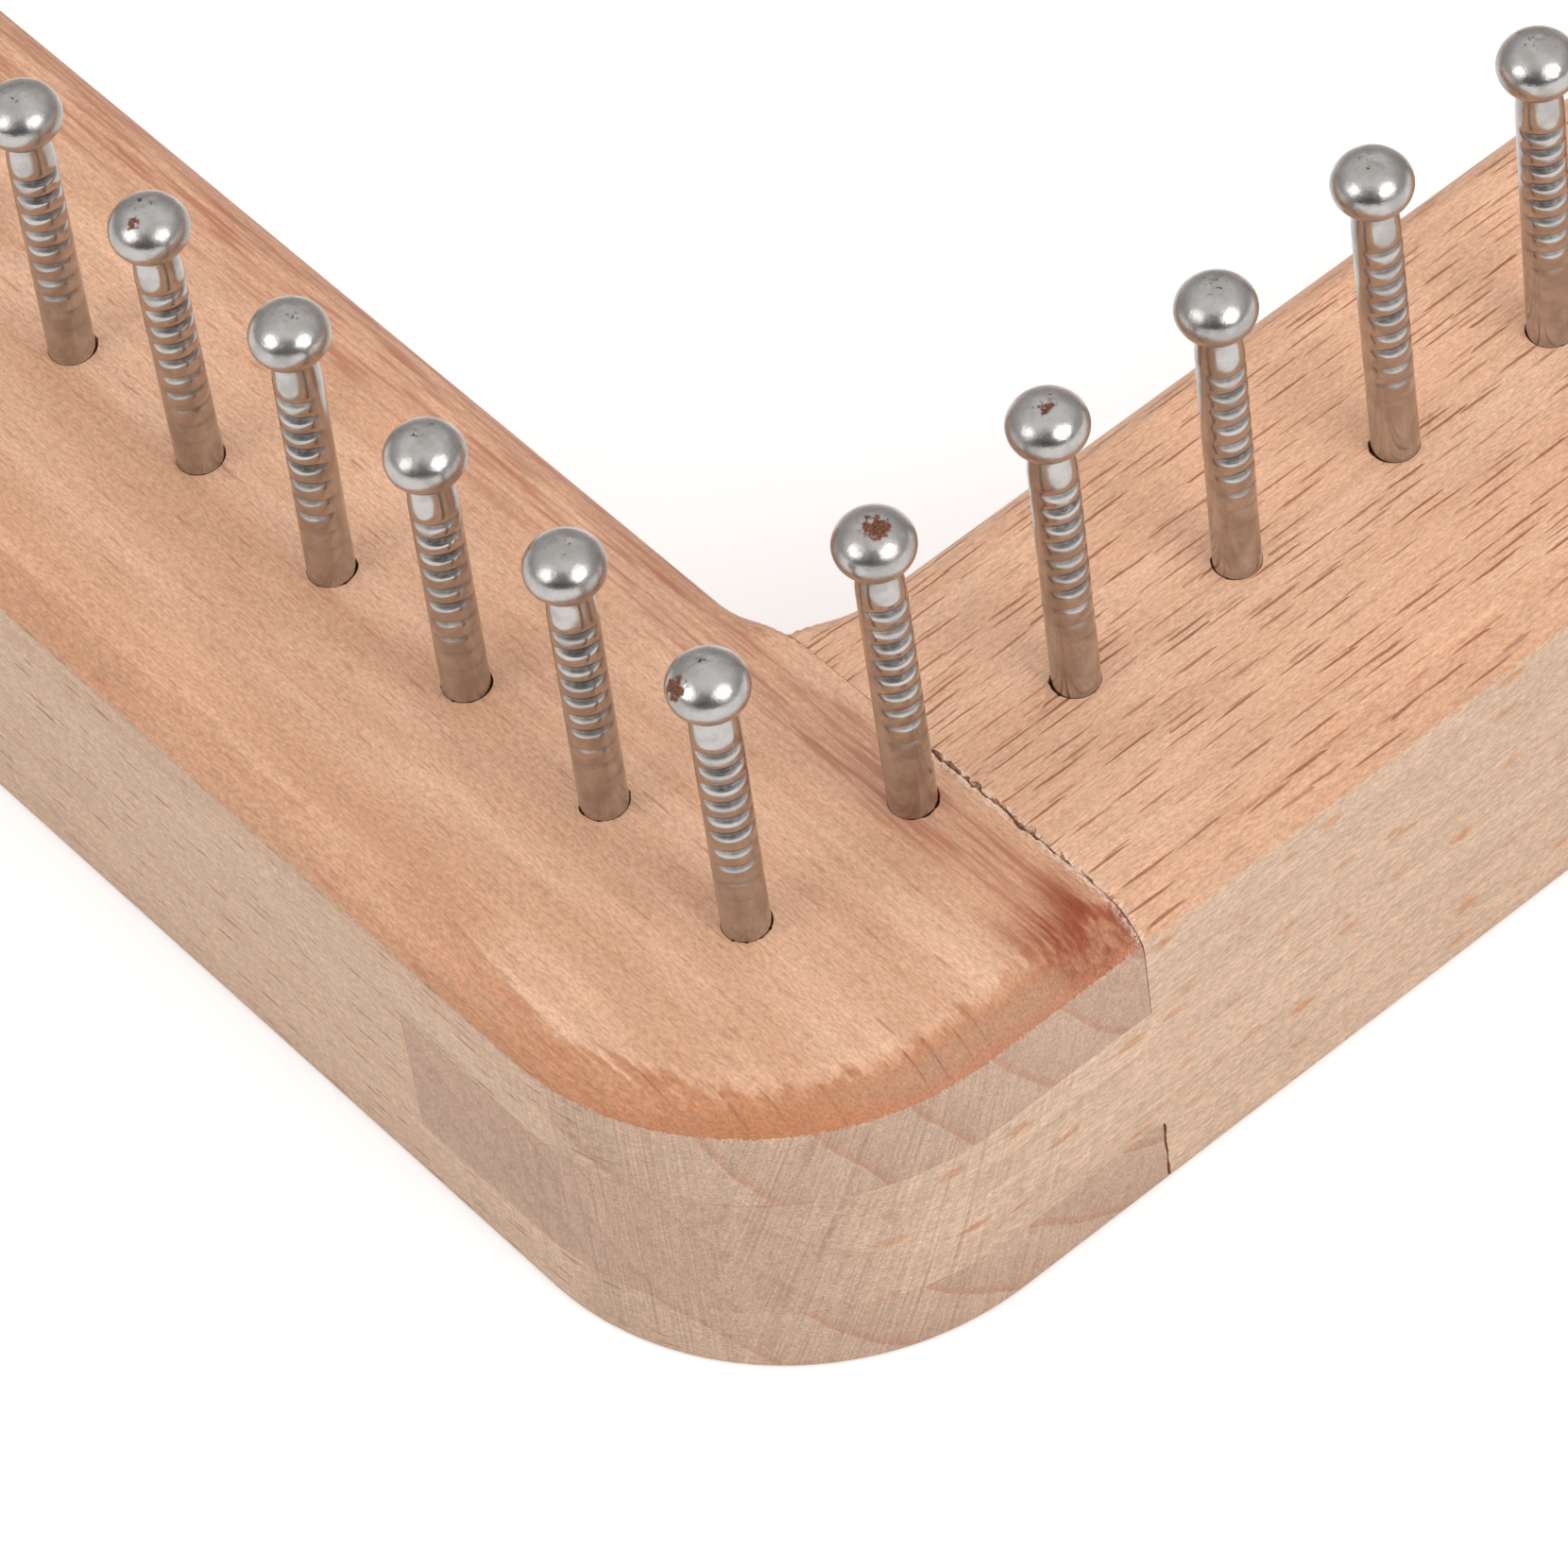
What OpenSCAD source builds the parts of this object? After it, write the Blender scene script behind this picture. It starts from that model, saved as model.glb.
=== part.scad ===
// Wooden loom for stretchy fabric loops: a square beech frame with a ring of round-headed steel nails.
// The rails along Y end in a fork of two cheeks. The rails along X end in a tenon held between them.
// Millimetres, +Z up, the origin under the middle of the frame.

/* [Nail ring] */
// Nails along each side, both corner nails counted
nails_per_side = 18; // [10:4:30]
// Distance between neighbouring nails, centre to centre
nail_pitch = 10; // [8:0.5:14]

/* [Rails] */
// Height of a rail
rail_h = 19; // [18:0.5:26]
// Width of a rail
rail_w = 24.4; // [22:0.2:32]
// Distance from a fork rail's outer face to its row of nails
fork_row_inset = 11.9; // [9:0.1:14]
// Distance from a tenon rail's outer face to its row of nails
tenon_row_inset = 12.7; // [9:0.1:14]

/* [Corner joints] */
// Thickness of the fork's top cheek
top_cheek = 6.6; // [5:0.1:7.5]
// Thickness of the tenon
tenon_t = 8.2; // [6:0.1:9]
// Open line left between a tenon rail's shoulders and the fork
shoulder_gap = 0.15; // [0:0.05:0.4]

/* [Rounded edges] */
// Radius of the frame's outer corners, seen from above
corner_r = 15.4; // [6:0.2:20]
// Radius of the rounded top edges
edge_r = 3; // [1:0.25:4]
// Wood sanded off the outer faces after the top edges were rounded
sanded_off = 0.25; // [0:0.05:0.8]
// Radius of the bearing that guided the rounding bit into the inner corners
bearing_r = 4.75; // [3:0.25:8]

/* [Nails] */
// Diameter of a nail's shank
shank_d = 2.33; // [1.8:0.01:2.6]
// Diameter of a nail's head
head_d = 3.87; // [3.6:0.01:5]
// Height of the round of a nail's head
head_h = 3.1; // [2.6:0.05:3.3]
// Length of a nail, from its point to the top of its head
nail_l = 31.75; // [28:0.25:33]
// Length of the nail's point
point_l = 2.6; // [1:0.1:4]
// Height of the nails' tops above the wood, in the rows on the fork rails
fork_nail_rise = 17.75; // [16:0.05:20]
// Height of the nails' tops above the wood, in the rows on the tenon rails
tenon_nail_rise = 19.35; // [16:0.05:21]

/* [Hidden] */
$fn = 64;
SIDES = ["front", "right", "back", "left"];
CORNERS = ["front_left", "front_right", "back_right", "back_left"];
nails_per_group = 4;
side_nails = nails_per_side - 2;
groups_per_side = ceil(side_nails / nails_per_group);

// Half the distance between opposite rows of nails
row = (nails_per_side - 1) * nail_pitch / 2;
// Half sizes of the frame and of its window
outer_x = row + fork_row_inset;
outer_y = row + tenon_row_inset;
inner_x = outer_x - rail_w;
inner_y = outer_y - rail_w;
// Heights of the joint's two cheek faces
tenon_top = rail_h - top_cheek;
tenon_bottom = tenon_top - tenon_t;
round_start = rail_h - edge_r;
// Room past a face, so that a cut goes right through it
over = 1;
hole_end_gap = 0.3;
neck_flare = 0.35;
// Bands that make up the round of a nail's head
head_steps = 14;
wood = [0.86, 0.68, 0.50];
wood_pale = [0.89, 0.74, 0.57];
steel = [0.72, 0.72, 0.72];

function group_name(side, group) = str("nails_", side, "_", group);
function is_fork_row(side) = side == "left" || side == "right";
// Place of a nail on a side, where 0 and nails_per_side - 1 are the corner nails
function nail_place(side, i) =
    side == "front" ? [-row + i * nail_pitch, -row] :
    side == "back" ? [-row + i * nail_pitch, row] :
    side == "left" ? [-row, -row + i * nail_pitch] :
    [row, -row + i * nail_pitch];
function corner_place(corner) =
    corner == "front_left" ? [-row, -row] :
    corner == "front_right" ? [row, -row] :
    corner == "back_right" ? [row, row] :
    [-row, row];

// Plan of the whole frame's outside, with round corners
module outer_plan() {
    square([2 * (outer_x - corner_r), 2 * outer_y], center = true);
    square([2 * outer_x, 2 * (outer_y - corner_r)], center = true);
    for (x = [-1, 1], y = [-1, 1])
        translate([x * (outer_x - corner_r), y * (outer_y - corner_r)])
            circle(r = corner_r, $fn = 96);
}

// What the rounding bit takes off beside an edge: the wall is at x = 0, with the wood beyond it
module round_off(reach) {
    difference() {
        translate([-reach, 0]) square([reach + edge_r, edge_r + over]);
        translate([edge_r, 0]) circle(r = edge_r);
    }
}

// The bit's path round the outside, which the sanding of the faces then brings nearer to the edge
module outer_rounding() {
    reach = 3 * sanded_off + over;
    for (turn = [0, 180]) rotate(turn) {
        translate([-outer_x - sanded_off, outer_y - corner_r, round_start])
            rotate([90, 0, 0])
                linear_extrude(2 * (outer_y - corner_r)) round_off(reach);
        translate([corner_r - outer_x, -outer_y - sanded_off, round_start])
            rotate([90, 0, 90])
                linear_extrude(2 * (outer_x - corner_r)) round_off(reach);
    }
    for (x = [-1, 1], y = [-1, 1])
        translate([x * (outer_x - corner_r), y * (outer_y - corner_r), round_start])
            rotate(atan2(y, x) - 45)
                rotate_extrude(angle = 90, $fn = 96)
                    translate([corner_r + sanded_off, 0])
                        mirror([1, 0]) round_off(reach);
}

// The bit's path round the window, where the bearing stops short of the inner corners
module inner_rounding() {
    for (turn = [0, 180]) rotate(turn) {
        translate([inner_x, inner_y - bearing_r, round_start])
            rotate([90, 0, 0])
                linear_extrude(2 * (inner_y - bearing_r)) round_off(bearing_r);
        translate([bearing_r - inner_x, inner_y, round_start])
            rotate([90, 0, 90])
                linear_extrude(2 * (inner_x - bearing_r)) round_off(bearing_r);
    }
    for (x = [-1, 1], y = [-1, 1])
        translate([x * (inner_x - bearing_r), y * (inner_y - bearing_r), round_start])
            rotate_extrude(angle = 360)
                intersection() {
                    translate([bearing_r, 0]) round_off(bearing_r);
                    square([bearing_r + edge_r, edge_r + over]);
                }
}

// The glued frame as one block, which the rails are cut from
module frame_block() {
    difference() {
        linear_extrude(rail_h) outer_plan();
        translate([-inner_x, -inner_y, -over]) cube([2 * inner_x, 2 * inner_y, rail_h + 2 * over]);
        outer_rounding();
        inner_rounding();
    }
}

// A blind hole for one nail, a tight fit on its shank and a little deeper than its point
module nail_hole(place, rise) {
    depth = nail_l - rise + hole_end_gap;
    translate([place.x, place.y, rail_h - depth]) cylinder(d = shank_d, h = depth + over);
}

// Every hole in the ring, the corner nails taking the height of the fork rails' rows
module nail_holes() {
    for (side = SIDES, i = [1:side_nails])
        nail_hole(nail_place(side, i), is_fork_row(side) ? fork_nail_rise : tenon_nail_rise);
    for (corner = CORNERS) nail_hole(corner_place(corner), fork_nail_rise);
}

// The rail along Y on the side x = -1 or 1, with a slot between the cheeks at each end
module fork_rail(x) {
    low_x = x > 0 ? inner_x : -outer_x;
    color(wood) difference() {
        intersection() {
            frame_block();
            translate([low_x, -outer_y, 0]) cube([rail_w, 2 * outer_y, rail_h]);
        }
        for (y = [-1, 1])
            translate([low_x - over, y > 0 ? inner_y : -outer_y - over, tenon_bottom])
                cube([rail_w + 2 * over, rail_w + over, tenon_t]);
        nail_holes();
    }
}

// The rail along X on the side y = -1 or 1, with a tenon through each fork
module tenon_rail(y) {
    body_x = inner_x - shoulder_gap;
    low_y = y > 0 ? inner_y : -outer_y;
    color(wood_pale) difference() {
        intersection() {
            frame_block();
            union() {
                translate([-body_x, low_y, 0]) cube([2 * body_x, rail_w, rail_h]);
                translate([-outer_x, low_y, tenon_bottom]) cube([2 * outer_x, rail_w, tenon_t]);
            }
        }
        nail_holes();
    }
}

// Half outline of a nail with its top at y = 0: round head, flared neck, straight shank and point
module nail_outline() {
    dome_r = head_h / 2;
    flat_r = head_d / 2 - dome_r;
    neck_angle = acos((shank_d / 2 + neck_flare - flat_r) / dome_r);
    head_angles = [for (i = [0:head_steps]) 90 - i * (90 + neck_angle) / head_steps];
    neck_y = -dome_r * (1 + sin(neck_angle)) - 2 * neck_flare;
    polygon(concat(
        [[0, 0]],
        [for (a = head_angles) [flat_r + dome_r * cos(a), dome_r * (sin(a) - 1)]],
        [[shank_d / 2, neck_y], [shank_d / 2, point_l - nail_l], [0, -nail_l]]
    ));
}

module nail(place, rise) {
    translate([place.x, place.y, rail_h + rise]) rotate_extrude() nail_outline();
}

module corner_nail(corner) {
    color(steel) nail(corner_place(corner), fork_nail_rise);
}

// Nails of one side in a group of neighbours, each a solid of its own
module nail_group(side, group) {
    first = (group - 1) * nails_per_group + 1;
    last = min(group * nails_per_group, side_nails);
    color(steel) for (i = [first:last])
        nail(nail_place(side, i), is_fork_row(side) ? fork_nail_rise : tenon_nail_rise);
}

fork_rail(-1);  // fork_rail_left
fork_rail(1);  // fork_rail_right
tenon_rail(-1);  // tenon_rail_front
tenon_rail(1);  // tenon_rail_back
for (corner = CORNERS)
    corner_nail(corner);
for (side = SIDES, group = [1:groups_per_side])
    nail_group(side, group);
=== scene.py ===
# Loom for stretchy fabric loops: beech rails with a tenon joint at each corner, and a ring of nails.
# Shapes are worked out in millimetres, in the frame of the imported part, and put into Blender in metres.
import math
import bmesh
import bpy
import numpy as np
from mathutils import Matrix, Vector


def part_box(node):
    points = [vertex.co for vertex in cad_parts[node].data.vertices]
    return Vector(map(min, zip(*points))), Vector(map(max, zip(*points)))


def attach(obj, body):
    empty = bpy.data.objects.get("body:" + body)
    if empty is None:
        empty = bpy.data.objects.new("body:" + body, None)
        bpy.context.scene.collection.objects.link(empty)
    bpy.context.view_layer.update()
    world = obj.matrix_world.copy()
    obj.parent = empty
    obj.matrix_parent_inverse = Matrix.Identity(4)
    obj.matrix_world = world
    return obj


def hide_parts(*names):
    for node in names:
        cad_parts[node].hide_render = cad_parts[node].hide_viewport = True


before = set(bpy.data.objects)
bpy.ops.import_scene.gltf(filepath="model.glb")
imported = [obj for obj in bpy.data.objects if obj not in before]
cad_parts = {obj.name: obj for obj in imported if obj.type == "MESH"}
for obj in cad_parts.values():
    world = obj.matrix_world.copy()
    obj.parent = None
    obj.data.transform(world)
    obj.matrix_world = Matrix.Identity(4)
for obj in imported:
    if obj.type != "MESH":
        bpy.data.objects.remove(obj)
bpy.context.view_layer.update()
print("frame loaded")

perMetre = 1000
# Points closer together than this, in metres, are made one
joinDistance = 1e-6
# A face is level, and so shaded flat, where its normal points up or down by at least this share
levelNormal = 0.99999


def boxOf(node):
    # lowest and highest corner of a node of the frame, in millimetres
    low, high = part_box(node)
    return np.array(low) * perMetre, np.array(high) * perMetre


forkLow, forkHigh = boxOf("fork_rail_left")
tenonHigh = boxOf("tenon_rail_front")[1]
cornerLow, cornerHigh = boxOf("corner_nail_front_left")
frontHigh = boxOf("nails_front_1")[1]

loom = {
    "outerX": -forkLow[0],
    "outerY": -forkLow[1],
    "innerX": -forkHigh[0],
    "innerY": -tenonHigh[1],
    "top": forkHigh[2],
    "row": -(cornerLow[0] + cornerHigh[0]) / 2,
    "forkNailTop": cornerHigh[2],
    "tenonNailTop": frontHigh[2],
    "nailsPerSide": 18,
    "nailsPerGroup": 4,
    "shankRadius": 1.165,
}
pitch = 2 * loom["row"] / (loom["nailsPerSide"] - 1)


def waver(places, spacing, seed):
    # random heights from -1 to 1 at even places, joined by half cosine waves
    steps = np.asarray(places, float) / spacing
    low = np.floor(steps).astype(int)
    heights = np.random.default_rng(seed).uniform(-1, 1, low.max() - low.min() + 2)
    blend = (1 - np.cos(math.pi * (steps - low))) / 2
    first = low - low.min()
    return heights[first] * (1 - blend) + heights[first + 1] * blend


def mixed(low, high, share):
    # straight blend from low to high
    return low + (high - low) * share


def gridFaces(rows, columns, closed):
    # the four corners of each cell; rows that go down and columns that go anticlockwise face outwards
    row, column = np.meshgrid(np.arange(rows - 1), np.arange(columns - (not closed)), indexing="ij")
    after = (column + 1) % columns
    here = row * columns
    below = here + columns
    return np.stack([here + column, below + column, below + after, here + after], -1).reshape(-1, 4)


class Skin:
    # grids and flat faces of one closed piece, with its values for each point

    def __init__(self, *values):
        self.points = []
        self.faces = []
        self.values = {name: [] for name in values}
        self.count = 0

    def addPoints(self, points, given):
        for name, kept in self.values.items():
            kept.append(np.broadcast_to(given.get(name, 0.0), points.shape[:-1]).reshape(-1))
        self.points.append(points.reshape(-1, 3))
        self.count += self.points[-1].shape[0]

    def addGrid(self, points, closed, **given):
        self.faces.extend((gridFaces(points.shape[0], points.shape[1], closed) + self.count).tolist())
        self.addPoints(points, given)

    def addFlat(self, points):
        self.faces.append(list(range(self.count, self.count + len(points))))
        self.addPoints(points, {})


def makePiece(name, skin, flip, measures, nodes, material, creaseAngle):
    # a mesh object at the origin, its doubled points joined, its creases sharp, standing for its nodes
    points = np.concatenate(skin.points) * flip
    for valueName, measure in measures.items():
        skin.values[valueName] = [measure(points)]
    points = points / perMetre
    faces = skin.faces if np.prod(flip) > 0 else [face[::-1] for face in skin.faces]
    mesh = bpy.data.meshes.new(name)
    mesh.from_pydata(points, [], faces)
    for valueName, kept in skin.values.items():
        layer = mesh.attributes.new(valueName, "FLOAT", "POINT")
        layer.data.foreach_set("value", np.concatenate(kept).astype(np.float32))
    joined = bmesh.new()
    joined.from_mesh(mesh)
    bmesh.ops.remove_doubles(joined, verts=joined.verts, dist=joinDistance)
    joined.to_mesh(mesh)
    joined.free()
    normals = np.zeros(len(mesh.polygons) * 3)
    mesh.polygons.foreach_get("normal", normals)
    mesh.polygons.foreach_set("use_smooth", np.abs(normals[2::3]) < levelNormal)
    mesh.set_sharp_from_angle(angle=math.radians(creaseAngle))
    mesh.materials.append(material)
    piece = bpy.data.objects.new(name, mesh)
    bpy.context.scene.collection.objects.link(piece)
    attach(piece, "root")
    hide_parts(*nodes)
    return piece


# Camera, as fitted to the nails and the edges of the rails in the photograph
camera = {
    "lens": 207.2,
    "sensor": 36,
    "azimuth": 56.262,
    "elevation": 50.098,
    "roll": -9.026,
    "reach": 406.02,
    "aside": (-1.7, 6.22),
    "clip": (0.01, 50),
}


def placeCamera():
    # looks from azimuth and elevation at the front left nail's foot, turned by roll and moved aside
    azimuth = math.radians(camera["azimuth"])
    elevation = math.radians(camera["elevation"])
    roll = math.radians(camera["roll"])
    flat = math.cos(elevation)
    ahead = np.array([flat * math.cos(azimuth), flat * math.sin(azimuth), -math.sin(elevation)])
    level = np.cross(ahead, [0, 0, 1])
    level /= np.linalg.norm(level)
    upright = np.cross(level, ahead)
    right = level * math.cos(roll) + upright * math.sin(roll)
    up = upright * math.cos(roll) - level * math.sin(roll)
    foot = np.array([-loom["row"], -loom["row"], loom["top"]])
    place = foot - ahead * camera["reach"] - right * camera["aside"][0] + up * camera["aside"][1]
    data = bpy.data.cameras.new("camera")
    data.lens = camera["lens"]
    data.sensor_width = camera["sensor"]
    data.clip_start, data.clip_end = camera["clip"]
    shot = bpy.data.objects.new("camera", data)
    turn = Matrix([right, up, -ahead]).transposed().to_4x4()
    shot.matrix_world = Matrix.Translation(place / perMetre) @ turn
    bpy.context.scene.collection.objects.link(shot)
    bpy.context.scene.camera = shot
    return right, up, -ahead


imageRight, imageUp, towardsCamera = placeCamera()
print("camera placed")

# Shading
work = {"tree": None}


class Wire:
    # an output of a shader node, which sums can be written with

    def __init__(self, socket):
        self.socket = socket

    def __abs__(self):
        return calc("ABSOLUTE", self)

    def __add__(self, other):
        return calc("ADD", self, other)

    def __sub__(self, other):
        return calc("SUBTRACT", self, other)

    def __rsub__(self, other):
        return calc("SUBTRACT", other, self)

    def __mul__(self, other):
        return calc("MULTIPLY", self, other)

    def __truediv__(self, other):
        return calc("DIVIDE", self, other)


def paint(red, green, blue):
    # linear colour from red, green and blue as they show on a screen, 0 to 255
    shares = np.array([red, green, blue]) / 255
    linear = np.where(shares <= 0.04045, shares / 12.92, ((shares + 0.055) / 1.055) ** 2.4)
    return (*linear.tolist(), 1)


def wiresOf(node):
    # a node's outputs, by number and by name
    wires = {}
    for number, socket in enumerate(node.outputs):
        wires[number] = wires[socket.name] = Wire(socket)
    return wires


def put(kind, inputs=None, **settings):
    # one node in the tree at work, with its settings, and its inputs as plain values or as wires to link
    made = work["tree"].nodes.new("ShaderNode" + kind)
    for key, value in settings.items():
        setattr(made, key, value)
    for key, value in (inputs or {}).items():
        if isinstance(value, Wire):
            work["tree"].links.new(value.socket, made.inputs[key])
        else:
            made.inputs[key].default_value = value
    return wiresOf(made)


def calc(operation, *values):
    # one sum on up to three numbers
    return put("Math", dict(enumerate(values)), operation=operation)[0]


def highest(first, second):
    # the greater of two numbers
    return calc("MAXIMUM", first, second)


def fade(value, low, high, start=0.0, end=1.0):
    # smooth step from start to end as the value goes from low to high
    inputs = {"Value": value, "From Min": low, "From Max": high, "To Min": start, "To Max": end}
    return put("MapRange", inputs, interpolation_type="SMOOTHSTEP")[0]


def blend(share, first, second):
    # mix of two colours
    return put("Mix", {0: share, 6: first, 7: second}, data_type="RGBA")[2]


def stained(base, share, colour):
    # the base with its share of a colour given as it shows on a screen
    return blend(share, base, paint(*colour))


def mixedNumber(share, first, second):
    # blend of two numbers
    return put("Mix", {0: share, 2: first, 3: second}, data_type="FLOAT")[0]


def scaled(colour, share):
    # colour made lighter or darker by a number
    return put("VectorMath", {0: colour, "Scale": share}, operation="SCALE")[0]


def vectors(operation, first, second):
    # one sum on two vectors
    return put("VectorMath", {0: first, 1: second}, operation=operation)[0]


def combined(x, y, z):
    # vector from three numbers
    return put("CombineXYZ", {0: x, 1: y, 2: z})[0]


def stretched(vector, along, across):
    # vector with its first axis multiplied by one number and the other two by another
    return vectors("MULTIPLY", vector, (along, across, across))


def noise(vector, scale=1.0, detail=2.0, roughness=0.5, output="Fac", **settings):
    # cloudy pattern from 0 to 1, mostly close to a half
    inputs = {"Vector": vector, "Scale": scale, "Detail": detail, "Roughness": roughness}
    return put("TexNoise", inputs, **settings)[output]


def attribute(name):
    # a value kept on the points of a mesh
    return put("Attribute", attribute_name=name, attribute_type="GEOMETRY")["Fac"]


def startTree(owner):
    # the owner's node tree, emptied, becomes the one at work
    owner.use_nodes = True
    work["tree"] = owner.node_tree
    owner.node_tree.nodes.clear()
    return owner


def makeGroup(name, build, inputs):
    # node group with number outputs worked out by a function from its inputs, given as name and kind
    tree = bpy.data.node_groups.new(name, "ShaderNodeTree")
    for label, kind in inputs.items():
        tree.interface.new_socket(label, in_out="INPUT", socket_type="NodeSocket" + kind)
    work["tree"] = tree
    results = build(wiresOf(tree.nodes.new("NodeGroupInput")))
    for label in results:
        tree.interface.new_socket(label, in_out="OUTPUT", socket_type="NodeSocketFloat")
    ending = tree.nodes.new("NodeGroupOutput")
    for label, wire in results.items():
        tree.links.new(wire.socket, ending.inputs[label])
    return tree


# Grain of the solid beech: how fast each pattern changes along the pith and across it, for each millimetre
grain = {
    "drift": (0.012, 0.09),
    "driftReach": 2.6,
    "fuzz": (2.4, 8.0),
    "tone": (0.05, 0.25),
    "fibre": (0.16, 1.7),
    "strand": (0.2, 4.2),
    "rays": (75.0, 0.35, 0.6),
}


def workOutFigure(given):
    # solid beech: rings round the pith, which is the X axis, pores along it, fuzz and slow changes of tone
    vector = given["Place"]
    slow = noise(stretched(vector, *grain["drift"]), output="Color")
    drift = stretched(vectors("SUBTRACT", slow, (0.5, 0.5, 0.5)), 0.0, grain["driftReach"])
    part = put("SeparateXYZ", {0: vectors("ADD", vector, drift)})
    radius = put("VectorMath", {0: combined(0.0, part[1], part[2])}, operation="LENGTH")["Value"]
    year = calc("FRACT", radius / given["Ring Width"] + given["Ring Phase"])
    pore = combined(*[part[i] / given["Pore Width" if i else "Pore Length"] for i in range(3)])
    ways = (calc("ARCTAN2", part[2], part[1]), radius, part[0])
    fan = combined(*[way * rate for way, rate in zip(ways, grain["rays"])])
    return {
        "Ring": fade(year, 0.84, 0.96) * fade(year, 1.0, 0.985),
        "Depth": fade(year, 0.1, 0.95),
        "Radius": radius,
        "Pores": fade(noise(pore, 0.5, roughness=0.6), 0.56, 0.74),
        "Fuzz": noise(stretched(vector, *grain["fuzz"]), detail=3.0, roughness=0.8),
        "Tone": noise(stretched(vector, *grain["tone"]), roughness=0.6),
        "Fibre": noise(stretched(vector, *grain["fibre"]), roughness=0.6),
        "Strand": noise(stretched(vector, *grain["strand"]), roughness=0.6),
        "Rays": fade(noise(fan, roughness=0.7), 0.5, 0.72),
    }


def workOutDashes(given):
    # dashes along the grain of a flat face, each an ellipse in a cell of its own, of which only some are kept
    bend = noise(combined(given["Along"] * 0.28, given["Across"] * 1.6, 0.0), noise_dimensions="2D")
    across = given["Across"] + (bend - 0.5) * 0.2
    spread = combined(given["Along"] / given["Cell Length"], across / given["Cell Width"], 0.0)
    cells = put("TexVoronoi", {"Vector": spread, "Scale": 1.0, "Randomness": 1.0}, voronoi_dimensions="2D")
    offset = put("SeparateXYZ", {0: vectors("SUBTRACT", spread, cells["Position"])})
    chance = put("SeparateColor", {0: cells["Color"]})
    along = offset[0] * given["Cell Length"] / (given["Length"] * fade(chance[1], 0.0, 1.0, 0.22, 0.5))
    beside = offset[1] * given["Cell Width"] / (given["Width"] * fade(chance[2], 0.0, 1.0, 0.3, 0.5))
    away = calc("SQRT", along * along + beside * beside)
    kept = calc("LESS_THAN", chance[0], given["Share"])
    return {"Mask": fade(away, 1.0, 1.0 - given["Softness"]) * kept * fade(chance[1], 0.0, 1.0, 0.5, 1.0)}


def workOutScratches(given):
    # fine straight scratches on the outer faces, from the distance round the frame and the height
    across = given["Around"] - given["Height"] * given["Slant"]
    along = given["Height"] + given["Around"] * given["Slant"]
    marks = {}
    for label, length, width in (("Fine", 0.16, 1.0), ("Deep", 0.1, 3.4)):
        spot = combined(across / (given["Spacing"] * width), along * length, given["Slant"])
        marks[label] = noise(spot, detail=1.5, roughness=0.6)
    return marks


def numbersNamed(*labels):
    # number inputs for a node group
    return {label: "Float" for label in labels}


woodFigure = makeGroup("beechFigure", workOutFigure, {
    "Place": "Vector", **numbersNamed("Ring Width", "Ring Phase", "Pore Length", "Pore Width")})
woodDashes = makeGroup("beechDashes", workOutDashes, numbersNamed(
    "Along", "Across", "Cell Length", "Cell Width", "Length", "Width", "Share", "Softness"))
sandingMarks = makeGroup("sandingMarks", workOutScratches, numbersNamed(
    "Around", "Height", "Slant", "Spacing"))
print("wood patterns ready")

# Rails
rail = {
    "cornerRadius": 15.4,
    "edgeRadius": 3,
    "sandedOff": 0.25,
    "bearingRadius": 4.75,
    "tenonTop": 12.4,
    "tenonBottom": 4.2,
    "easedEdge": 0.3,
    "arrisSoftness": 0.08,
    "arrisWaver": 0.06,
    "glueLine": 0.04,
    "glueHeight": 0.07,
    "spacing": 0.625,
    "seamSpacing": 0.16,
    "bendSpacing": 0.25,
    "arcPoints": 48,
    "crossPoints": 16,
    "shoulderFit": 0.02,
    "topOpening": 0.6,
    "seamInset": 0.6,
    "seamStart": 1.8,
    "lowOpening": 0.26,
    "holeDepth": 2.4,
    "holeSlack": 0.11,
    "holeJag": 0.09,
    "forkSlackTurn": -15,
    "tenonSlackTurn": 130,
    "tornDepth": 0.8,
    "arrisFade": 0.6,
    "grooveFade": 0.6,
    "sandedRise": 1.35,
    "sandedBlend": 0.2,
    "cornerStart": 2,
    "cornerReach": 10,
    "slackSpread": 25,
    "seamShift": (0.45, 0.55),
    "creaseAngle": 50,
}
roundStart = loom["top"] - rail["edgeRadius"]
cutLevel = rail["edgeRadius"] - rail["sandedOff"]
bitX = loom["innerX"] - rail["bearingRadius"]
bitY = loom["innerY"] - rail["bearingRadius"]
roundLevels = roundStart + rail["edgeRadius"] * np.sin(
    np.radians([90, 83, 76, 69, 62, 55, 48, 41, 35, 31, 28, 26, 24.5, 23, 21, 18, 12, 0]))
upperLevels = np.concatenate([roundLevels, [14, rail["tenonTop"] + rail["glueHeight"], rail["tenonTop"]]])
lowerLevels = np.concatenate([
    [rail["tenonBottom"], rail["tenonBottom"] - rail["glueHeight"]],
    np.linspace(rail["tenonBottom"] - 0.3, 0.5, 10),
    [0.3, 0.17, 0.06, 0]])
tenonLevels = np.array([
    rail["tenonTop"], rail["tenonTop"] - rail["glueHeight"], rail["tenonBottom"] + rail["glueHeight"],
    rail["tenonBottom"]])


def roundedBack(levels):
    # how far the rounding bit's quarter circle stands back from the wall at each level
    rise = np.clip(levels - roundStart, 0, rail["edgeRadius"])
    return rail["edgeRadius"] - np.sqrt(rail["edgeRadius"] ** 2 - rise ** 2)


def easedBack(levels):
    # the small quarter circle along the bottom edges
    drop = np.clip(rail["easedEdge"] - levels, 0, rail["easedEdge"])
    return rail["easedEdge"] - np.sqrt(rail["easedEdge"] ** 2 - drop ** 2)


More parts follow.
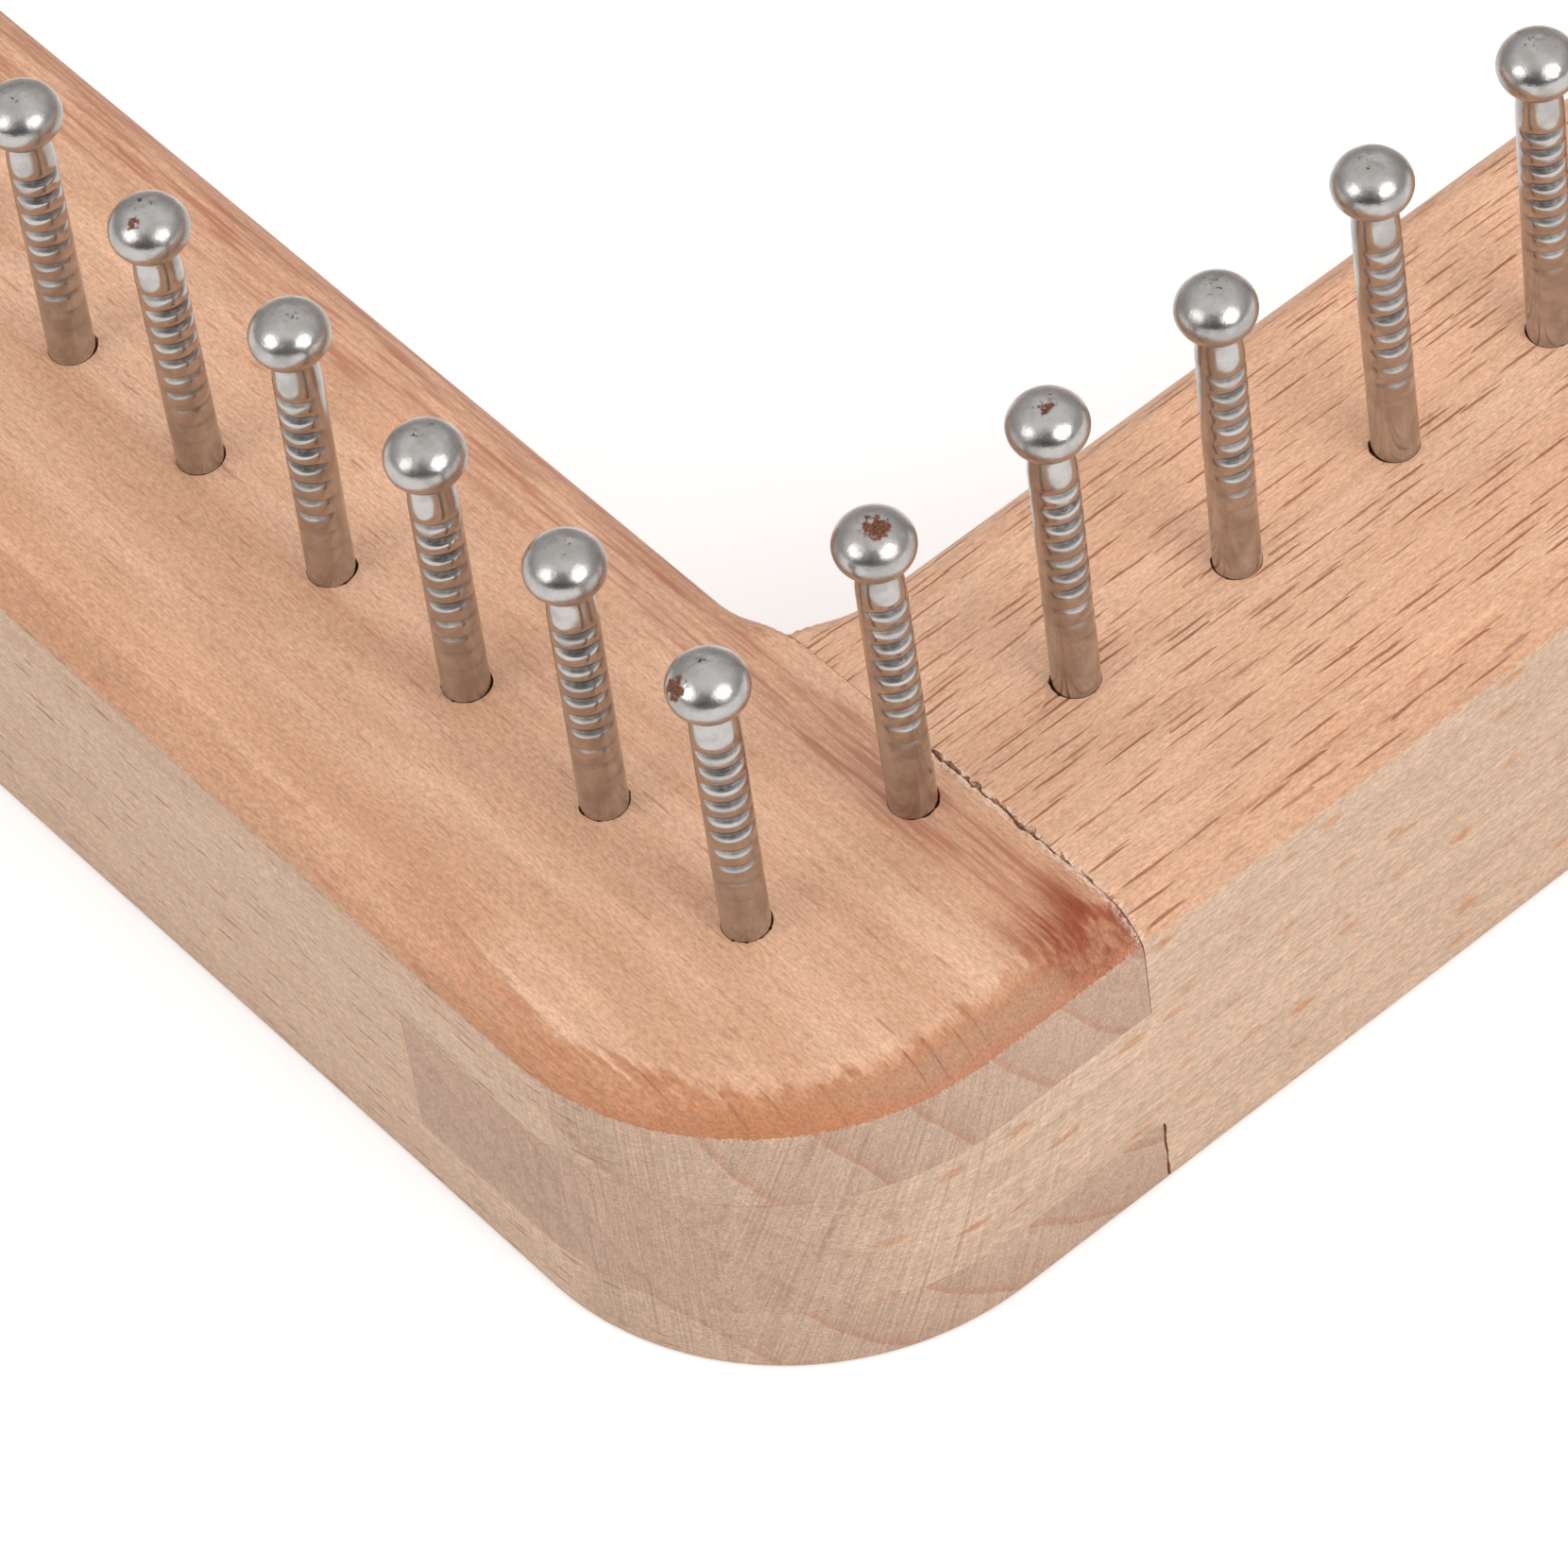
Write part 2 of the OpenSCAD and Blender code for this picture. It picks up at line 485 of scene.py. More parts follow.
def outerBack(levels, around, seed):
    # the quarter circle less the sanded layer, never outside the wall, with its arris a little round
    wander = rail["arrisWaver"] * (0.6 * waver(around, 7, seed) + 0.4 * waver(around, 1.3, seed + 1))
    cut = roundedBack(levels)[:, None] - rail["sandedOff"] + wander[None, :]
    soft = (cut + np.sqrt(cut ** 2 + rail["arrisSoftness"] ** 2)) / 2
    fading = np.clip((levels - roundStart) / rail["arrisFade"], 0, 1)[:, None]
    return soft * fading + easedBack(levels)[:, None]


def innerBack(levels):
    # the window's edges: a full quarter circle at the top and the small one at the bottom
    return (roundedBack(levels) + easedBack(levels))[:, None]


def bitCut(levels, beyond, wall, axis):
    # the wall's place, or further out where the circle of the rounding bit and its bearing reaches past it
    reach = (rail["bearingRadius"] + roundedBack(levels))[:, None]
    left = reach ** 2 - beyond ** 2
    return np.where(left > 0, np.maximum(axis + np.sqrt(np.clip(left, 0, None)), wall), wall)


def joints(levels, depths, seed):
    # width of the open line at a shoulder: tight by the window, torn open further out, and less so lower down
    share = np.clip((depths - loom["innerY"]) / (loom["outerY"] - loom["innerY"]), 0, 1)
    if levels[0] > rail["tenonTop"]:
        torn = 0.5 + 0.5 * waver(depths, 0.9, seed) + 0.8 * waver(depths, 0.3, seed + 1)
        where = np.interp(share, [0, 0.3, 0.42, 0.8, 0.93, 1], [0, 0.04, 0.6, 1, 0.4, 0.3])
        down = np.interp(
            loom["top"] - levels, [0, 0.12, 0.3, rail["tornDepth"], 6.4, 6.6], [1, 0.9, 0.6, 0.25, 0.2, 0])
        return rail["topOpening"] * down[:, None] * where * np.clip(torn, 0, 1)
    torn = 0.6 + 0.5 * waver(levels, 0.5, seed + 2) + 0.3 * waver(levels, 1.7, seed + 3)
    ends = np.interp(levels, [0, 0.2, 3.9, 4.2], [0.3, 1, 1, 0])
    where = np.interp(share, [0, 0.7, 0.95, 1], [0, 0.1, 0.7, 1])
    return rail["lowOpening"] * (ends * np.clip(torn, 0.1, 1))[:, None] * where


def path(corners, firstLength):
    # points and outward directions along straight runs with round corners, and the distance travelled
    corners = np.array(corners, float)
    run = np.diff(corners, axis=0)
    length = np.linalg.norm(run, axis=1)
    run /= length[:, None]
    places = []
    outward = []
    for i, (start, heading) in enumerate(zip(corners[:-1], run)):
        first = rail["cornerRadius"] if i else 0
        last = length[i] - (rail["cornerRadius"] if i < len(run) - 1 else 0)
        along = np.linspace(first, last, int(round((last - first) / rail["spacing"])) + 1)
        normal = np.array([heading[1], -heading[0]])
        places.append(start + heading * along[:, None])
        outward.append(np.broadcast_to(normal, (len(along), 2)))
        if i < len(run) - 1:
            turn = np.linspace(0, math.pi / 2, rail["arcPoints"] + 1)[1:-1, None]
            swing = normal * np.cos(turn) + heading * np.sin(turn)
            centre = start + heading * last - normal * rail["cornerRadius"]
            places.append(centre + swing * rail["cornerRadius"])
            outward.append(swing)
    places = np.concatenate(places)
    outward = np.concatenate(outward)
    step = np.linalg.norm(np.diff(places, axis=0), axis=1)
    return places, outward, firstLength + np.concatenate([[0], np.cumsum(step)])


def setBack(levels, run, seed):
    # an outer run of the outline at each level, moved in along its outward directions
    places, outward, around = run
    back = outerBack(levels, around, seed)
    return places[None] - outward[None] * back[:, :, None]


def glueGroove(levels, run):
    # the fine groove along the glue lines of an outer run, dying out at both its ends
    lines = np.array([rail["tenonTop"], rail["tenonBottom"]])
    near = np.any(np.abs(levels[:, None] - lines) < rail["glueHeight"] / 2, axis=1)
    places, outward, around = run
    ends = np.clip(np.minimum(around - around[0], around[-1] - around) / rail["grooveFade"], 0, 1)
    reach = ends * (1 - 0.85 * nearCorner(places))
    return -outward[None] * (rail["glueLine"] * near[:, None] * reach)[:, :, None]


def wallPlans(levels, runs, seed):
    # the outer runs set back, with glue grooves in all but the middle one
    return [setBack(levels, run, seed) + (0 if run is runs[1] else glueGroove(levels, run)) for run in runs]


def raised(plan, levels):
    # plan positions with their levels
    heights = np.broadcast_to(levels[:, None, None], plan.shape[:2] + (1,))
    return np.concatenate([plan, heights], axis=2)


def joined(*runs):
    # runs of the outline put one after another, each but the last point of it
    return np.concatenate([run[:, :-1] for run in runs], axis=1)


def sandedShare(levels, outside):
    # one on the sanded outer faces, below the arris
    below = np.clip((roundStart + rail["sandedRise"] - levels) / rail["sandedBlend"], 0, 1)
    return below[:, None] * outside[None]


def roundFrame(points):
    # distance round the outside of the frame, straight along the sides and by angle round the corners
    arcX = loom["outerX"] - rail["cornerRadius"]
    arcY = loom["outerY"] - rail["cornerRadius"]
    x, y = np.abs(points[:, 0]), np.abs(points[:, 1])
    turn = np.arctan2(np.clip(y - arcY, 0, None), np.clip(x - arcX, 1e-9, None))
    quarter = arcY + arcX + rail["cornerRadius"] * math.pi / 2
    gone = np.minimum(y, arcY) + rail["cornerRadius"] * turn + arcX - np.minimum(x, arcX)
    back = np.sign(points[:, 1])
    return np.where(points[:, 0] < 0, -back * gone, 2 * quarter + back * gone)


def nearCorner(points):
    # one round the frame's outer corners, falling to nothing along the sides
    apart = np.minimum(np.abs(points[:, 0]) - loom["innerX"], np.abs(points[:, 1]) - loom["innerY"])
    return np.clip((apart - rail["cornerStart"]) / rail["cornerReach"], 0, 1)


def behindSeam(outline, nail):
    # the outline of a cell with its torn seam replaced by a straight line a little inside the cell
    x, y = outline[:, 0], outline[:, 1]
    onSeam = (np.abs(np.abs(x) - loom["innerX"]) < 0.5) & (np.abs(y) > loom["innerY"])
    share = onSeam * np.clip((np.abs(y) - loom["innerY"] - rail["seamStart"]) / 2, 0, 1)
    inset = math.copysign(rail["seamInset"], abs(nail[0]) - loom["innerX"])
    return np.column_stack([mixed(x, np.sign(x) * (loom["innerX"] + inset), share), y])


def nailCell(outline, nail, slackTurn, seed):
    # rings from the bottom of a nail's hole up its wall, over its worn rim and out to the cell's own outline
    base = behindSeam(outline, nail)
    spoke = base - nail
    angle = np.degrees(np.arctan2(spoke[:, 1], spoke[:, 0])) % 360
    spoke /= np.linalg.norm(spoke, axis=1)[:, None]
    chance = np.random.default_rng(seed)
    slackSide = slackTurn + chance.uniform(-rail["slackSpread"], rail["slackSpread"])
    worn = (0.5 + 0.5 * np.cos(np.radians(angle - slackSide))) ** 5
    slack = rail["holeSlack"] * chance.uniform(0.5, 1) * worn
    jag = rail["holeJag"] * np.clip(waver(angle, 11, seed + 1) - 0.35, 0, 1)
    jag = jag * np.clip(np.minimum(angle, 360 - angle) / 20, 0, 1)
    shank = loom["shankRadius"]
    rim = shank + slack + jag
    top = loom["top"]
    rings = [
        (rim * 0 + shank, top - rail["holeDepth"]),
        (rim * 0.5 + shank * 0.5, top - 0.8),
        (rim, top - 0.16),
        (rim + 0.005, top - 0.02),
        (rim + 0.02, top),
    ]
    last = nail + spoke * rings[-1][0][:, None]
    points = [np.column_stack([nail + spoke * radius[:, None], rim * 0 + level]) for radius, level in rings]
    for share in (0.1, 0.3, 0.6, 0.97):
        points.append(np.column_stack([mixed(last, base, share), rim * 0 + top]))
    points.append(np.column_stack([outline, rim * 0 + top]))
    return np.array(points)


def cutAcross(first, last):
    # evenly spaced points of a straight cut through the top, both ends included
    return mixed(first[None], last[None], np.linspace(0, 1, rail["crossPoints"])[:, None])


def addCell(skin, outline, nail, slackTurn, seed):
    # one nail's share of the top, with the bottom of its hole
    cell = nailCell(outline, np.array(nail, float), slackTurn, seed)
    skin.addFlat(cell[0])
    skin.addGrid(cell, True)


def endWall(plan, levels, first, last):
    # flat face between two columns of a rail's middle, from the upper level to the lower one
    return np.array([(*plan[0, first], levels[0]), (*plan[1, first], levels[1]),
                     (*plan[1, last], levels[1]), (*plan[0, last], levels[0])])


def forkOutline(levels, seed):
    # outline of the left fork rail at each level, anticlockwise from the front end of its front seam
    outerX, outerY, innerX, innerY = loom["outerX"], loom["outerY"], loom["innerX"], loom["innerY"]
    rear = path([(-innerX, outerY), (-outerX, outerY), (-outerX, innerY)], 0)
    side = path([(-outerX, innerY), (-outerX, -innerY)], rear[2][-1])
    front = path([(-outerX, -innerY), (-outerX, -outerY), (-innerX, -outerY)], side[2][-1])
    rearPlan, sidePlan, frontPlan = wallPlans(levels, (rear, side, front), seed)
    seams = []
    for end, start, seamSeed in ((-1, frontPlan[:, -1:, 1], seed + 10), (1, rearPlan[:, :1, 1], seed + 20)):
        y = mixed(start, end * bitY, seamShares[None])
        depth = np.abs(y)
        x = bitCut(levels, depth - bitY, innerX, bitX) + easedBack(levels)[:, None] * (depth < innerY)
        opening = rail["seamShift"][0] * joints(levels, mixed(outerY, bitY, seamShares), seamSeed)
        seams.append(np.stack([-x - opening, y], -1))
    y = np.linspace(-bitY, bitY, int(round(2 * bitY / rail["spacing"])) + 1)
    innerPlan = np.stack(np.broadcast_arrays(-innerX - innerBack(levels), y[None]), -1)
    runs = [seams[0], innerPlan, seams[1][:, ::-1], rearPlan, sidePlan, frontPlan]
    starts = np.cumsum([0] + [run.shape[1] - 1 for run in runs])
    outside = np.zeros(starts[-1])
    outside[starts[3]:] = 1
    outside[0] = 1
    return joined(*runs), starts, outside


def shoulderShares():
    # places along a seam and the bend after it, as shares, with the column that the bend starts at
    length = loom["outerY"] - bitY
    kink = (loom["outerY"] - loom["innerY"]) / length
    straight = np.arange(0, loom["outerY"] - loom["innerY"], rail["seamSpacing"]) / length
    straight = straight[kink - straight > 0.003]
    bend = np.linspace(kink, 1, int((1 - kink) * length / rail["bendSpacing"]) + 1)
    return np.concatenate([straight, bend]), len(straight)


seamShares, kinkColumn = shoulderShares()


def closest(outline, x, y):
    # index of the outline's point closest to a place
    return int(np.argmin(np.hypot(outline[:, 0] - x, outline[:, 1] - y)))


def forkCells(skin, outline, seed):
    # the top of the left fork rail: one cell for each nail, two of them side by side at each corner
    row = loom["row"]
    slack = rail["forkSlackTurn"]
    splitX = -row + pitch / 2
    levelsAcross = np.arange(-row + pitch / 2, row, pitch)
    outer = [closest(outline, cutLevel - loom["outerX"], y) for y in levelsAcross]
    back = [rail["edgeRadius"] if abs(y) < bitY else 0 for y in levelsAcross]
    inner = [closest(outline, -loom["innerX"] - inset, y) for inset, y in zip(back, levelsAcross)]
    cuts = [cutAcross(outline[a], outline[b]) for a, b in zip(outer, inner)]
    for i in range(1, len(cuts)):
        around = np.concatenate([
            outline[inner[i - 1]:inner[i] + 1], cuts[i][::-1][1:-1],
            outline[outer[i]:outer[i - 1] + 1], cuts[i - 1][1:-1]])
        addCell(skin, around, (-row, -row + i * pitch), slack, seed + i)
    for side, line, number in ((-1, cuts[0], 40), (1, cuts[-1], 42)):
        split = int(np.argmin(np.abs(line[:, 0] - splitX)))
        end = closest(outline, splitX, side * (loom["outerY"] - cutLevel))
        divider = cutAcross(outline[end], line[split])[1:-1]
        if side < 0:
            atCorner = [outline[outer[0]:end + 1], divider, line[split:0:-1]]
            beside = [outline[end:], outline[:inner[0] + 1], line[split:-1][::-1], divider[::-1]]
        else:
            atCorner = [outline[end:outer[-1] + 1], line[1:split + 1], divider[::-1]]
            beside = [outline[inner[-1]:end + 1], divider, line[split:-1]]
        addCell(skin, np.concatenate(atCorner), (-row, side * row), slack, seed + number)
        addCell(skin, np.concatenate(beside), (-row + pitch, side * row), slack, seed + number + 1)


def startRail(outlineOf, addCells, seed):
    # a rail's skin with its top and its upper and lower walls, the plans of those, and where the runs start
    skin = Skin("sanded")
    upper, starts, outside = outlineOf(upperLevels, seed)
    lower = outlineOf(lowerLevels, seed)[0]
    addCells(skin, upper[0], seed)
    for plan, levels in ((upper, upperLevels), (lower, lowerLevels)):
        skin.addGrid(raised(plan, levels), True, sanded=sandedShare(levels, outside))
    return skin, upper, lower, starts


def finishRail(skin, lower, name, flip, node, material):
    # the underside, and then the whole rail as a piece
    skin.addFlat(raised(lower[-1:], lowerLevels[-1:])[0][::-1])
    measures = {"around": roundFrame, "corner": nearCorner}
    makePiece(name, skin, flip, measures, [node], material, rail["creaseAngle"])


def makeForkRail(name, side, seed, node, material):
    # a rail along Y, built on the left and mirrored for the right, with a slot between its cheeks at each end
    skin, upper, lower, starts = startRail(forkOutline, forkCells, seed)
    middle = np.stack([upper[-1], lower[0]])
    middleLevels = np.array([rail["tenonTop"], rail["tenonBottom"]])
    rearKink = starts[3] - kinkColumn
    for first, last, isOutside in ((starts[4], starts[5], 1.0), (kinkColumn, rearKink, 0.0)):
        strip = raised(middle[:, first:last + 1], middleLevels)
        skin.addGrid(strip, False, sanded=isOutside)
    turned = np.roll(np.arange(upper.shape[1]), -starts[5])
    frontEnd = turned[:upper.shape[1] - starts[5] + kinkColumn + 1]
    rearEnd = np.arange(rearKink, starts[4] + 1)
    for end in (frontEnd, rearEnd):
        skin.addFlat(raised(middle[:1, end], middleLevels[:1])[0][::-1])
        skin.addFlat(raised(middle[1:, end], middleLevels[1:])[0])
        skin.addFlat(endWall(middle, middleLevels, end[0], end[-1]))
    finishRail(skin, lower, name, (side, 1, 1), node, material)


def tenonOutline(levels, seed):
    # outline of the front tenon rail between its shoulders, anticlockwise from the left end of its front face
    outerY, innerY = loom["outerY"], loom["innerY"]
    shoulder = loom["innerX"] - rail["shoulderFit"]
    front = path([(-shoulder, -outerY), (shoulder, -outerY)], 0)
    frontPlan = setBack(levels, front, seed)
    bendX = np.linspace(shoulder, bitX, int((shoulder - bitX) / rail["bendSpacing"]) + 1)
    eased = easedBack(levels)[:, None]
    bendY = -bitCut(levels, bendX - bitX, innerY, bitY) - eased
    shoulders = []
    for column, shoulderSeed in ((0, seed + 10), (-1, seed + 20)):
        y = mixed(frontPlan[:, column, 1][:, None], bendY[:, :1], shoulderSteps[None])
        opening = rail["seamShift"][1] * joints(levels, mixed(outerY, innerY, shoulderSteps), shoulderSeed)
        shoulders.append(np.stack([shoulder - opening, y], -1))
    frontPlan[:, 0, 0] = -shoulders[0][:, 0, 0]
    x = np.linspace(bitX, -bitX, int(round(2 * bitX / rail["spacing"])) + 1)
    innerPlan = np.stack(np.broadcast_arrays(x[None], -innerY - innerBack(levels)), -1)
    bend = np.stack(np.broadcast_arrays(bendX[None], bendY), -1)
    mirror = np.array([-1, 1])
    runs = [frontPlan, shoulders[1], bend, innerPlan, bend[:, ::-1] * mirror, shoulders[0][:, ::-1] * mirror]
    starts = np.cumsum([0] + [run.shape[1] - 1 for run in runs])
    outside = np.zeros(starts[-1])
    outside[:starts[1] + 1] = 1
    return joined(*runs), starts, outside


shoulderSteps = np.linspace(0, 1, int((loom["outerY"] - loom["innerY"]) / rail["seamSpacing"]) + 1)


def tenonCells(skin, outline, seed):
    # the top of the front tenon rail: one cell for each nail between the shoulders
    row = loom["row"]
    slack = rail["tenonSlackTurn"]
    places = np.arange(-row + 2.5 * pitch, row - 2 * pitch, pitch)
    front = [closest(outline, x, -loom["outerY"] + cutLevel) for x in places]
    inner = [closest(outline, x, -loom["innerY"] - rail["edgeRadius"]) for x in places]
    cuts = [cutAcross(outline[a], outline[b])[1:-1] for a, b in zip(front, inner)]
    around = np.concatenate([outline[:front[0] + 1], cuts[0], outline[inner[0]:]])
    addCell(skin, around, (-row + 2 * pitch, -row), slack, seed)
    for i in range(1, len(cuts)):
        around = np.concatenate([
            outline[front[i - 1]:front[i] + 1], cuts[i],
            outline[inner[i]:inner[i - 1] + 1], cuts[i - 1][::-1]])
        addCell(skin, around, (-row + (i + 2) * pitch, -row), slack, seed + i)
    around = np.concatenate([outline[front[-1]:inner[-1] + 1], cuts[-1][::-1]])
    addCell(skin, around, (row - 2 * pitch, -row), slack, seed + 30)


def makeTenonRail(name, side, seed, node, material):
    # a rail along X, built at the front and mirrored for the back, with a tenon at each end
    outerX, outerY, innerY = loom["outerX"], loom["outerY"], loom["innerY"]
    shoulder = loom["innerX"] - rail["shoulderFit"]
    skin, upper, lower, starts = startRail(tenonOutline, tenonCells, seed)
    left = path([(-outerX, -innerY), (-outerX, -outerY), (-shoulder, -outerY)], 0)
    middle = path([(-shoulder, -outerY), (shoulder, -outerY)], left[2][-1])
    right = path([(shoulder, -outerY), (outerX, -outerY), (outerX, -innerY)], middle[2][-1])
    outerPlans = wallPlans(tenonLevels, (left, middle, right), seed)
    wallX = np.concatenate([[outerX], upper[-1, starts[2]:starts[5] + 1, 0], [-outerX]])
    wallPlan = np.stack(np.broadcast_arrays(wallX[None], tenonLevels[:, None] * 0 - innerY), -1)
    outerCount = sum(plan.shape[1] - 1 for plan in outerPlans)
    isOutside = np.concatenate([np.ones(outerCount), np.zeros(len(wallX) - 1)])
    skin.addGrid(raised(joined(*outerPlans, wallPlan), tenonLevels), True, sanded=isOutside[None])
    for plan, level, row, facing in ((upper, rail["tenonTop"], -1, 1), (lower, rail["tenonBottom"], 0, -1)):
        edge = 0 if facing > 0 else -1
        leftShoulder = np.concatenate([plan[row, starts[5]:], plan[row, :1]])[::-1]
        rightShoulder = plan[row, starts[1]:starts[2] + 1][::-1]
        leftFace = np.concatenate([outerPlans[0][edge][:-1], leftShoulder])
        rightFace = np.concatenate([outerPlans[2][edge], rightShoulder[:-1]])
        for face in (leftFace, rightFace):
            skin.addFlat(raised(face[None], np.array([level]))[0][::facing])
    finishRail(skin, lower, name, (1, side, 1), node, material)


# Nails
nail = {
    "head": 3.87,
    "headHeight": 3.1,
    "length": 31.75,
    "point": 2.6,
    "columns": 48,
    "firstMark": 2.0,
    "markSpacing": 1.11,
    "markJitter": 0.05,
    "markDepth": 0.18,
    "collarTaper": 0.15,
    "markAngle": 66,
    "markStrengths": [0.85, 1, 1, 0.97, 0.92, 0.88, 0.75, 0.55, 0.35, 0.18],
    "pitDepth": 0.04,
    "crownSize": 0.75,
    "lean": 0.25,
    "driveDepth": 0.25,
    "crownDepth": -0.9,
    "pits": 12,
    "pitSpread": 0.4,
    "pitSizes": (0.08, 0.2),
    "pitDepths": (-0.6, 1),
    "strengthRange": (0.68, 1.08),
    "turnJitter": 5,
    "creaseAngle": 40,
}
# One tooth mark from top to bottom: millimetres below its middle, and share of its depth, ending in a lip
markDrops = np.array([-0.42, -0.25, -0.08, -0.02, 0.02, 0.05, 0.14, 0.22, 0.29, 0.36, 0.42, 0.49, 0.6])
markShares = np.array([0, 0.3, 0.8, 0.95, 1, 0.94, 0.6, 0.32, 0.12, 0, -0.05, -0.05, 0])
# Each nail near the camera: shift of its head and height in millimetres, turn of its marks, and its stains
nearNails = {
    (0, 0): {"shift": (0.04, -0.03), "rise": 0.38, "turn": 4, "stains": [(-68, 30, 0.42, 0.95)]},
    (0, 1): {"shift": (0.1, -0.1), "rise": 0.2, "turn": 0, "stains": []},
    (0, 2): {"shift": (0.14, -0.1), "rise": -0.35, "turn": 2, "stains": []},
    (0, 3): {"shift": (0.28, -0.2), "rise": 0.05, "turn": -22, "stains": []},
    (0, 4): {"shift": (0.02, -0.02), "rise": -0.3, "turn": 14, "stains": [(-38, 52, 0.35, 0.6)]},
    (0, 5): {"shift": (0.2, -0.16), "rise": -0.1, "turn": 6, "stains": []},
    (1, 0): {"shift": (-0.08, 0.07), "rise": -0.05, "turn": 16, "stains": [(20, 76, 0.5, 1.0)]},
    (2, 0): {"shift": (0.04, -0.03), "rise": -0.28, "turn": 24, "stains": [(0, 80, 0.4, 0.7)]},
    (3, 0): {"shift": (0.1, -0.06), "rise": -0.55, "turn": 26, "stains": []},
    (4, 0): {"shift": (-0.16, 0.1), "rise": 0.0, "turn": 22, "stains": []},
}


def nailProfile(rise, marks):
    # radius and height of the rows from the top of the head to the point, with the wood at height zero
    half = nail["head"] / 2
    tall = nail["headHeight"] / 2
    turn = np.radians(np.concatenate([np.linspace(87, 20, 24), np.linspace(14, -38, 13)]))
    radius = half * np.cos(turn)
    height = tall * (np.sin(turn) - 1)
    shank = loom["shankRadius"]
    collar = ((1, 0.22), (0.96, 0.32), (0.7, 0.75), (0.35, 1.3), (0.05, 1.8))
    neck = [(shank - share * nail["collarTaper"], height[-1] - down) for share, down in collar]
    marked = (marks[:, None] - markDrops[None]).reshape(-1)
    levels = (-rise + 0.4, -rise - 0.4, -rise - 4, nail["point"] - nail["length"])
    shaft = [(shank, level) for level in levels]
    tip = [(shank * 0.55, nail["point"] * 0.45 - nail["length"]), (0.08, -nail["length"])]
    rows = np.concatenate([
        np.column_stack([radius, height]), neck, np.column_stack([marked * 0 + shank, marked]), shaft, tip])
    return rows[:, 0], rows[:, 1]


def toothMarks(height, angle, turn, marks, seed):
    # depth of the marks of both jaws: a slope that goes in, a curved ledge and a lip, deepest at the middle,
    # and the share of painted shade along the top of each ledge
    chance = np.random.default_rng(seed)
    depth = 0
    paintedShade = 0
    down = marks - height[:, None, None]
    strengths = np.array(nail["markStrengths"])
    for half in (0, 180):
        strength = strengths * chance.uniform(*nail["strengthRange"], len(strengths))
        offset = turn + half + chance.uniform(-nail["turnJitter"], nail["turnJitter"], len(strengths))
        away = (angle[None, :, None] - offset + 180) % 360 - 180
        across = np.clip(1 - (away / nail["markAngle"]) ** 2, 0, 1) ** 0.6 * strength
        depth = depth + (np.interp(down, markDrops, markShares, 0, 0) * nail["markDepth"] * across).sum(-1)
        # painted shade: a dark band along the upper part of each ledge, where the tooth mark lies in shade
        paintedShade = paintedShade + (np.interp(down, [-0.04, 0.03, 0.16, 0.25], [0, 1, 1, 0]) * across).sum(-1)
    return depth, np.clip(paintedShade, 0, 1)


def addNail(skin, x, y, rise, turn, shift, stains, seed):
    # a surface of revolution with tooth marks pressed in, pits on its crown and a slight lean about its foot
    chance = np.random.default_rng(seed)
    number = np.arange(len(nail["markStrengths"]))
    marks = -nail["headHeight"] - nail["firstMark"] - number * nail["markSpacing"]
    marks = marks + chance.uniform(-nail["markJitter"], nail["markJitter"], len(number))
    radius, height = nailProfile(rise, marks)
    angle = np.arange(nail["columns"]) * 360 / nail["columns"]
    depth, groove = toothMarks(height, angle, turn, marks, seed)
    radians = np.radians(angle)
    shape = np.stack([
        radius[:, None] * np.cos(radians), radius[:, None] * np.sin(radians),
        np.broadcast_to(height[:, None], (len(height), len(angle)))], -1)
    onHead = (height > -nail["headHeight"])[:, None]
    centre = np.array([0, 0, -nail["headHeight"] / 2])
    outwards = shape - centre
    outwards /= np.linalg.norm(outwards, axis=-1)[..., None]
    pits = 0
    onCrown = onHead & (shape[..., 2] > nail["crownDepth"])
    pitX, pitY = [chance.normal(0, nail["pitSpread"], nail["pits"]) for axis in range(2)]
    sizes = chance.uniform(*nail["pitSizes"], nail["pits"])
    deeps = chance.uniform(*nail["pitDepths"], nail["pits"])
    for x0, y0, size, deep in zip(pitX, pitY, sizes, deeps):
        apart = (shape[..., 0] - x0) ** 2 + (shape[..., 1] - y0) ** 2
        pits = pits + deep * np.exp(-apart / size ** 2)
    crownX, crownY = chance.uniform(-0.2, 0.2, 2)
    apart = (shape[..., 0] - crownX) ** 2 + (shape[..., 1] - crownY) ** 2
    crown = np.where(onCrown, np.exp(-apart / nail["crownSize"] ** 2), 0)
    stain = np.zeros(shape.shape[:2])
    for around, up, size, strength in stains:
        heading, slope = math.radians(around + turnToCamera), math.radians(up)
        level = math.cos(slope)
        spot = np.array([level * math.cos(heading), level * math.sin(heading), math.sin(slope)])
        apart = np.linalg.norm(outwards - spot, axis=-1)
        stain = np.maximum(stain, strength * np.exp(-(apart / size) ** 2) * onHead)
    shape = shape - outwards * (np.where(onCrown, pits, 0) * nail["pitDepth"])[..., None]
    inwards = np.stack([np.cos(radians), np.sin(radians), radians * 0], -1)
    shape = shape - inwards[None] * (depth * ~onHead)[..., None]
    shape[..., :2] += (shape[..., 2:] + rise) / (rise - nail["headHeight"] / 2) * np.array(shift)
    shape = shape + np.array([x, y, loom["top"] + rise])
    headShare = onHead * np.ones(shape.shape[:2])
    skin.addGrid(shape, True, groove=groove * ~onHead, stain=stain, crown=crown, head=headShare)
    skin.addFlat(shape[0])
    skin.addFlat(shape[-1][::-1])


turnToCamera = math.degrees(math.atan2(towardsCamera[1], towardsCamera[0]))


def nailPlace(side, i):
    # place of the i-th nail of a side, the corner nails being the first and last
    row = loom["row"]
    along = -row + i * pitch
    return {"front": (along, -row), "back": (along, row), "left": (-row, along), "right": (row, along)}[side]


